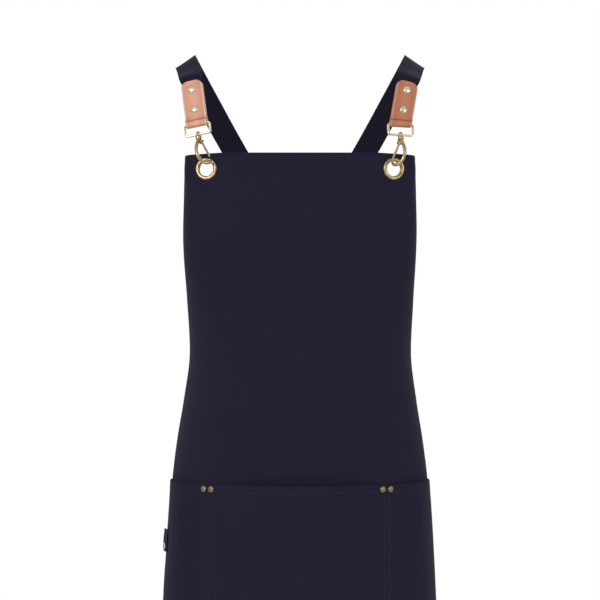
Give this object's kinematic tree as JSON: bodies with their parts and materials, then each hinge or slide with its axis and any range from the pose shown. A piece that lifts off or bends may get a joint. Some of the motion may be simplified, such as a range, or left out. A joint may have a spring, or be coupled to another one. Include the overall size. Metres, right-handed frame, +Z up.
{
  "type": "cross-back work apron",
  "caption": "Cross-back work apron: canvas panel with bib and divided front pocket, crossed straps clipped to bib eyelets by swivel snap hooks.",
  "frame": {"origin": "midway between the shoulders, level with the top of the straps, where the straps hang on the wearer", "axes": "+Z up the wearer, -Y out of the bib's front, +X to the viewer's right"},
  "size_m": [0.369, 0.2562, 0.9923],
  "materials": {
    "canvas": "dark indigo cotton canvas",
    "strap_twill": "dark indigo doubled twill",
    "pale_leather": "pale veg-tan leather",
    "tan_leather": "tan leather",
    "antique_brass": "antiqued brass plate",
    "dark_brass": "dark antiqued brass",
    "steel_rivet": "dull steel",
    "spring_steel": "bright spring wire"
  },
  "bodies": {
    "apron": {"body_panel": "canvas", "bib_facing": "canvas", "pocket_panel": "canvas", "towel_loop": "canvas", "towel_loop_rivet": "steel_rivet", "pocket_rivet_left_a": "dark_brass", "pocket_rivet_left_b": "dark_brass", "eyelet_left": "antique_brass", "eyelet_washer_left": "antique_brass", "strap_tab_left": "pale_leather", "tab_rivet_left_upper": "antique_brass", "tab_rivet_left_lower": "antique_brass", "ring_tab_left": "tan_leather", "ring_tab_rivet_left": "antique_brass", "strap_left": "strap_twill", "pocket_rivet_right_a": "dark_brass", "pocket_rivet_right_b": "dark_brass", "eyelet_right": "antique_brass", "eyelet_washer_right": "antique_brass", "strap_tab_right": "tan_leather", "tab_rivet_right_upper": "antique_brass", "tab_rivet_right_lower": "antique_brass", "ring_tab_right": "tan_leather", "ring_tab_rivet_right": "antique_brass", "strap_right": "strap_twill"},
    "frame_left": {"snap_frame_left": "antique_brass"},
    "hook_left": {"snap_hook_left": "antique_brass", "gate_pin_left": "antique_brass", "gate_spring_left": "spring_steel"},
    "gate_left": {"snap_gate_left": "antique_brass"},
    "ring_left": {"waist_ring_left": "antique_brass"},
    "adjuster_left": {"slider_left": "antique_brass"},
    "frame_right": {"snap_frame_right": "antique_brass"},
    "hook_right": {"snap_hook_right": "antique_brass", "gate_pin_right": "antique_brass", "gate_spring_right": "spring_steel"},
    "gate_right": {"snap_gate_right": "antique_brass"},
    "ring_right": {"waist_ring_right": "antique_brass"},
    "adjuster_right": {"slider_right": "antique_brass"}
  },
  "joints": [
    {"name": "frame_swing_left", "type": "hinge", "parent": "apron", "child": "frame_left", "pos_m": [-0.1288, -0.1145, -0.096], "axis": [0.9554, -0.2342, 0.1799], "range_deg": [-4, 4]},
    {"name": "hook_swivel_left", "type": "hinge", "parent": "frame_left", "child": "hook_left", "pos_m": [-0.1271, -0.11798, -0.10956], "axis": [-0.1205, 0.2471, 0.9615], "range_deg": [-12, 12]},
    {"name": "gate_open_left", "type": "hinge", "parent": "hook_left", "child": "gate_left", "pos_m": [-0.12337, -0.11901, -0.11871], "axis": [-0.4389, 0.8554, -0.2749], "range_deg": [0, 14], "stiffness_Nm_per_rad": 0.02, "springref_deg": -17.19},
    {"name": "ring_tilt_left", "type": "hinge", "parent": "apron", "child": "ring_left", "pos_m": [-0.08573, 0.0916, -0.38893], "axis": [-0.6627, -0.4501, 0.5984], "range_deg": [-2, 2]},
    {"name": "slider_slide_left", "type": "slide", "parent": "apron", "child": "adjuster_left", "axis": [-0.5714, -0.2126, -0.7927], "range_m": [-0.036, 0.022]},
    {"name": "frame_swing_right", "type": "hinge", "parent": "apron", "child": "frame_right", "pos_m": [0.1256, -0.1145, -0.0964], "axis": [-0.9628, -0.267, 0.041], "range_deg": [-4, 4]},
    {"name": "hook_swivel_right", "type": "hinge", "parent": "frame_right", "child": "hook_right", "pos_m": [0.12584, -0.11748, -0.11018], "axis": [-0.017, 0.2112, 0.9773], "range_deg": [-12, 12]},
    {"name": "gate_open_right", "type": "hinge", "parent": "hook_right", "child": "gate_right", "pos_m": [0.12355, -0.11798, -0.11983], "axis": [-0.5351, -0.8276, 0.1696], "range_deg": [0, 14], "stiffness_Nm_per_rad": 0.02, "springref_deg": -17.19},
    {"name": "ring_tilt_right", "type": "hinge", "parent": "apron", "child": "ring_right", "pos_m": [0.08559, 0.09045, -0.38874], "axis": [0.6715, -0.4561, 0.5841], "range_deg": [-2, 2]},
    {"name": "slider_slide_right", "type": "slide", "parent": "apron", "child": "adjuster_right", "axis": [0.5757, -0.1752, -0.7987], "range_m": [-0.036, 0.022]}
  ]
}
